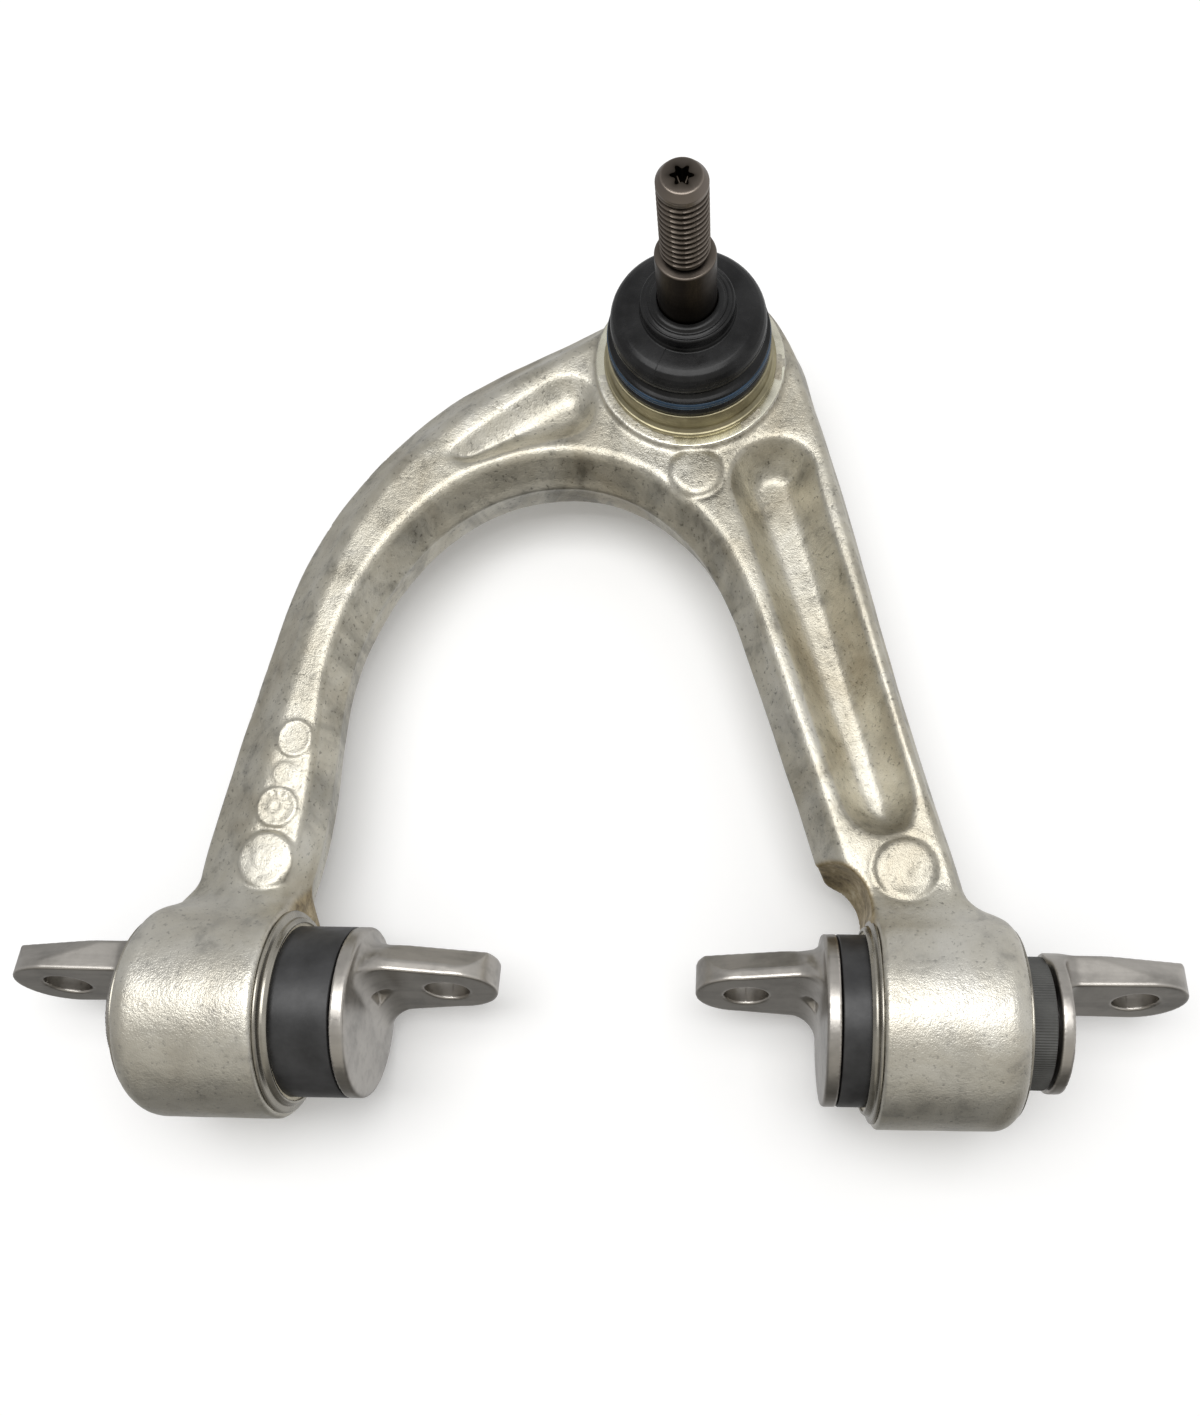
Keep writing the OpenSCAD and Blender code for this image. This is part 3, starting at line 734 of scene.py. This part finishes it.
HALVES = (("lower", BOOT[:SPLIT + 1] + BOOT_INSIDE[INSIDE_SPLIT:], BOOT[LINE_FROM:SPLIT + 1],
           ("arm", "ball_cradle", FIXED_Z, SPLIT_Z)),
          ("upper", BOOT[SPLIT:] + BOOT_NECK + BOOT_INSIDE[:INSIDE_SPLIT + 1], BOOT[SPLIT:],
           ("ball_cradle", "stud_carrier", SPLIT_Z, NECK_Z)))
for name, skin, _, ends in HALVES:
    v, f = lathe(skin, 0.3, shape=boot_bumps)
    ob = new_mesh("boot_" + name, to_ball(v), f, MAT["rubber"], None, ["boot"],
                  angle=50)
    bent(ob, *ends)
for name, _, line, ends in HALVES:
    v, f = mould_line(line)
    ob = new_mesh("boot_line_" + name, to_ball(v), f, MAT["rubber"], None, angle=0)
    bent(ob, *ends)

v, f = lathe([(20.4, 17.4), (21.15, 17.4), (21.4, 17.75), (21.4, 18.2), (21.1, 18.4),
              (21.4, 18.6), (21.4, 19.1), (21.15, 19.45), (20.4, 19.45)], 0.2)
new_mesh("clip_ring", to_ball(v), f, MAT["blue"], "arm", ["boot_clip_ring"])

# ---------------------------------------------------------------- ball stud
PITCH, THREAD_R, THREAD_DEPTH = 1.5, 6.0, 0.92
THREAD_LO, THREAD_HI, STUD_TOP = 49.2, 68.2, 70.2
SPHERE_R, STUD_STEPS = 12.5, 96
# the recess in the end, from the top down: largest and smallest radius, depth
RECESS = ((2.75, 1.75, 0.0), (2.6, 1.6, 0.35), (2.55, 1.55, 2.6), (1.4, 1.1, 3.4))
LOBES = 6


def stud():
    """The ball, the shank, a thread cut as a true helix, and a lobed recess in the end."""
    n = STUD_STEPS
    ball = [(SPHERE_R * math.sin(a), BALL_Z - SPHERE_R * math.cos(a))
            for a in np.radians(np.arange(8, 150, 4))]
    shank = softened([(6.0, 13.3), (6.0, 21), (7.4, 26), (7.4, 33), (7.45, 33.1), (7.45, 47.2),
                      (7.2, 47.5), (5.1, 47.8), (4.85, 48.2), (4.85, 49.0)], 0.2, closed=False)
    thread = [(THREAD_R, z) for z in np.arange(THREAD_LO, THREAD_HI, PITCH / 12)]
    end = softened([(6.0, 68.3), (6.0, 68.6), (4.75, 70.1), (4.3, STUD_TOP)], 0.2, closed=False)
    below = [(0.01, BALL_Z - 12.49), (1.0, BALL_Z - 12.46), *ball, *shank]
    prof = np.array([*below, *thread, *end])
    r, z, t = spun(prof, n)
    phase = ((z - THREAD_LO) / PITCH - t / (2 * math.pi)) % 1.0
    tooth = np.clip((np.abs(phase - 0.5) * 2 - 0.14) / 0.72, 0, 1)
    fade = np.clip((THREAD_HI - z) / 1.6, 0, 1) * np.clip((z - THREAD_LO + 0.2) / 0.4, 0, 1)
    threaded = slice(len(below), len(below) + len(thread))
    r[threaded] -= (THREAD_DEPTH * tooth * fade)[threaded]
    faces = []
    for i in range(len(prof) - 1):
        faces += band(i * n, (i + 1) * n, n)
    faces.append(list(range(n))[::-1])
    parts, base, turn = [from_polar(r, z, t)], (len(prof) - 1) * n, t[0]
    for far, close, deep in RECESS:
        lobe = close + (far - close) * (0.5 + 0.5 * np.cos(LOBES * turn))**1.4
        parts.append(from_polar(lobe, np.full(n, STUD_TOP - deep), turn))
        faces += band(base, base + n, n)
        base += n
    faces.append([base + k for k in range(n)])
    return np.concatenate(parts), faces


v, f = stud()
stud_ob = new_mesh("ball_stud_threaded", to_ball(v), f, MAT["stud"], "stud",
                   ["ball_stud"], angle=40)
# bare steel and a painted highlight on the thread's crests and on two turned edges
depth = np.hypot(v[:, 0], v[:, 1])
crest = np.clip((depth - 5.76) / 0.2, 0, 1) * (v[:, 2] > THREAD_LO) * (depth < 6.3)
shoulder = 0.7 * np.exp(-((v[:, 2] - 47.4) / 0.18) ** 2)
rim = np.exp(-((v[:, 2] - 70.05) / 0.15) ** 2) * (depth > 4.2)
point_values(stud_ob, "bare_steel_and_glint", np.clip(crest + shoulder + rim, 0, 1))

v, f = lathe([(10.2, 29.6), (11.75, 29.6), (11.8, 31.4), (10.2, 31.5)], 0.3, n=128)
new_mesh("neck_ring", to_ball(v), f, MAT["rubber"], "stud_carrier",
         ["boot_top_ring"])

# ---------------------------------------------------------------- bushes
INNER_FACE = -HOUSING_L / 2
# the tab at the outer end (1) and at the inner end (-1): half width at the root
ROOT_HALF = ((1, 10.5), (-1, 15.0))
ROOT_AT, ROOT_L = 29, 20.0
# the flat along each side of a tab, at 60 degrees to its face, running out to the full width
FLAT_Z, FLAT_Y, FLAT_AT, FLAT_RUN, FLAT_FROM = 0.866, 0.5, 16.8, 0.17, 31
# the end of the bar's centre hole, left as a crescent where the milled sweep runs through it
CENTRE_Y, CENTRE_Z, CENTRE_R, CENTRE_FACE = 1.7, 0.5, 3.8, 30.2


def pin_field(u, y, z):
    """A bar pin along its own axis: u towards the outer end, the tabs behind at +y."""
    rho = np.hypot(y, z)
    bar = cut(rho - BAR_R, np.abs(u) - 27, 0.3)
    big = cut(rho - COLLAR_R - 1, np.maximum(u + BIG_FROM, -u - BIG_TO), 0.3)
    small = cut(cut(rho - SMALL_R, u - SMALL_TO, 0.5), SMALL_FROM - u, 0.5)
    slab = cut(TAB_BACK - y, y - TAB_BACK - TAB_T, 0.5)
    tabs = []
    for sign, root_half in ROOT_HALF:
        w = sign * u
        half = root_half + (TAB_HALF - root_half) * np.clip((w - ROOT_AT) / ROOT_L, 0, 1)
        strip = cut(np.abs(z) - half, w - TAB_END, 0.01)
        shape = np.minimum(np.maximum(strip, 24.6 - w), np.hypot(w - TAB_END, z) - TAB_HALF)
        flat = np.abs(z) * FLAT_Z + y * FLAT_Y - FLAT_AT + FLAT_RUN * (w - FLAT_FROM)
        tabs.append(cut(cut(slab, shape, 0.5), flat, 0.15))
    # the turned outlines behind the milled faces: a collar, a small fillet, and the bar that
    # the tab is cut from
    long_bar = np.maximum(rho - SMALL_R, u)
    collar = cut(cut(rho - COLLAR_R, u + BIG_FROM, 0.3), -u - BIG_TO, 0.9)
    inner = cut(join(tabs[1], big, 6.5), join(collar, long_bar, 2.4), 0.2)
    outer = cut(join(tabs[0], small, 4.0), np.maximum(rho - SMALL_R, -u), 0.25)
    hole = np.maximum(np.hypot(y - CENTRE_Y, z - CENTRE_Z) - CENTRE_R, u + CENTRE_FACE)
    inner = cut(inner, -hole, 0.2)
    body = np.minimum(np.minimum(bar, inner), outer)
    return cut(body, HOLE_R - np.hypot(np.abs(u) - HOLE_AT, z), 0.45)


def ribs(r, z, t):
    return r - RIB_DEPTH * (r > 15) * (0.5 + 0.5 * np.cos(RIBS * t)), z


pin_v, pin_q = surface_net(pin_field, (-61, -22, -22), (61, 22, 22), 0.5)
# a painted highlight along the pin's milled edges
pin_edge_glint = np.clip(
    1.6 * (1 - probe(pin_field, pin_v, normals(pin_field, pin_v), -0.9)) - 0.3, 0, 1)
lean = math.radians(-TAB_LEAN)
h0 = INNER_FACE

for w, side in SIDE.items():
    slid = PIN_SLID[w]
    u, y, z = pin_v.T
    v = np.stack([side * u + side * (HOUSING_X - slid), y * math.cos(lean) - z * math.sin(lean),
                  y * math.sin(lean) + z * math.cos(lean)], -1)
    ob = new_mesh("bar_pin_milled_" + w, v, pin_q if side > 0 else pin_q[:, ::-1], MAT["pin"],
                  "pin_" + w, ["bar_pin_" + w], angle=0)
    point_values(ob, "edge", pin_edge_glint)

    v, f = lathe([(SLEEVE_BORE, h0 - LIP_L), (22.3, h0 - LIP_L), (22.9, h0 - 1.7),
                  (23.0, h0 - 1.15), (24.3, h0 - 0.9), (24.75, h0 - 0.6), (24.75, h0 - 0.1),
                  (SLEEVE_R, h0 - 0.05), (SLEEVE_R, 15.6), (22.9, 16.1), (22.9, 16.5),
                  (22.3, 16.75), (SLEEVE_BORE, 16.5), (21.3, 15.5), (18, 15.5), (18, 13.8),
                  (SLEEVE_BORE, 13.8)], 0.2)
    new_mesh("sleeve_turned_" + w, to_housing(v, w), f, MAT["sleeve"], "arm",
             ["outer_sleeve_" + w])

    v, f = lathe([(CORE_R, -25.7), (DRUM_R, -25.7), (DRUM_R, TAIL_FROM), (16, TAIL_FROM),
                  (CORE_R, TAIL_FROM)], 0.35)
    new_mesh("drum_" + w, to_housing(v, w, slid), f, MAT["drum"], "bush_" + w,
             ["slide_drum_" + w])
    v, f = lathe([(CORE_R, TAIL_FROM), (TAIL_R, TAIL_FROM), (TAIL_R, TAIL_TO),
                  (CORE_R, TAIL_TO)], 0.2, n=6 * RIBS, shape=ribs)
    new_mesh("tail_" + w, to_housing(v, w, slid), f, MAT["tail"], "bush_" + w,
             angle=0)

# ---------------------------------------------------------------- CAD pieces kept as they are
for name, key in (("ball_seat", "acetal"), ("ball_liner", "acetal"), ("pressure_plate", "grey"),
                  ("snap_ring", "stud"), ("slide_liner_l", "acetal"), ("slide_liner_r", "acetal"),
                  ("guide_ring_l", "drum"), ("guide_ring_r", "drum"), ("core_tube_l", "grey"),
                  ("core_tube_r", "grey")):
    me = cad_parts[name].data
    me.materials.clear()
    me.materials.append(MAT[key])

# ---------------------------------------------------------------- floor, light and camera
floor_z = cad_lo.z - 0.0003
me = bpy.data.meshes.new("floor")
me.from_pydata([(x, y, floor_z) for x, y in ((-4, -4), (4, -4), (4, 4), (-4, 4))], [],
               [(0, 1, 2, 3)])
floor = bpy.data.objects.new("floor", me)
bpy.context.scene.collection.objects.link(floor)
paint = Shader("floor_paint", (0.93, 0.93, 0.93), 0.0, 0.9, Emission_Color=(1, 1, 1, 1),
               Emission_Strength=0.1)
me.materials.append(paint.m)
floor.visible_glossy = False

world = bpy.data.worlds.new("studio")
bpy.context.scene.world = world
world.use_nodes = True
sky = world.node_tree
background = sky.nodes["Background"]
background.inputs["Strength"].default_value = 1.0
axes = sky.nodes.new("ShaderNodeSeparateXYZ")
sky.links.new(sky.nodes.new("ShaderNodeTexCoord").outputs["Generated"], axes.inputs[0])


def sky_range(axis, lo, hi, to_lo=0.0, to_hi=1.0):
    """A value that grows along one axis of the view direction."""
    n = sky.nodes.new("ShaderNodeMapRange")
    for socket, value in (("From Min", lo), ("From Max", hi), ("To Min", to_lo),
                          ("To Max", to_hi)):
        n.inputs[socket].default_value = value
    sky.links.new(axes.outputs[axis], n.inputs["Value"])
    return n.outputs["Result"]


shades = sky.nodes.new("ShaderNodeValToRGB")
sky.links.new(sky_range("Z", -1.0, 1.0), shades.inputs["Fac"])
for k, (at, level) in enumerate(((0.50, 0.13), (0.64, 0.56))):
    shades.color_ramp.elements[k].position = at
    shades.color_ramp.elements[k].color = (level, level * 0.97, level * 0.90, 1)
# darker in front, where somebody stands, and a little more light from the right
both = sky.nodes.new("ShaderNodeMix")
both.data_type = "RGBA"
sky.links.new(sky_range("Y", -0.8, -0.1), both.inputs[0])
sky.links.new(shades.outputs["Color"], both.inputs[6])
sky.links.new(sky_range("X", -0.6, 0.8, 0.46, 0.74), both.inputs[7])
sky.links.new(both.outputs[2], background.inputs["Color"])

LIGHT_AT, LIGHT_TARGET = Vector((-0.07, 0.15, 0.8)), Vector((-0.07, 0.15, 0))
light = bpy.data.lights.new("ceiling", "AREA")
light.shape, light.size, light.size_y, light.energy = "RECTANGLE", 0.85, 0.5, 4.4
lamp = bpy.data.objects.new("ceiling", light)
lamp.location = LIGHT_AT
lamp.rotation_euler = (LIGHT_TARGET - LIGHT_AT).to_track_quat("-Z", "Y").to_euler()
bpy.context.scene.collection.objects.link(lamp)

cam_data = bpy.data.cameras.new("camera")
cam_data.sensor_fit = "VERTICAL"
cam_data.sensor_height = 24.0
cam_data.lens = 19.36966
cam_data.shift_x, cam_data.shift_y = -0.07339, 0.115876
cam_data.clip_start = 0.01
camera = bpy.data.objects.new("camera", cam_data)
camera.location = (0.0357, -0.0226, 0.2802)
camera.rotation_euler = Euler([math.radians(a) for a in (11.886, 1.035, 1.052)], "XYZ")
bpy.context.scene.collection.objects.link(camera)
bpy.context.scene.camera = camera
bpy.context.scene.view_settings.view_transform = "Standard"

bpy.context.view_layer.update()
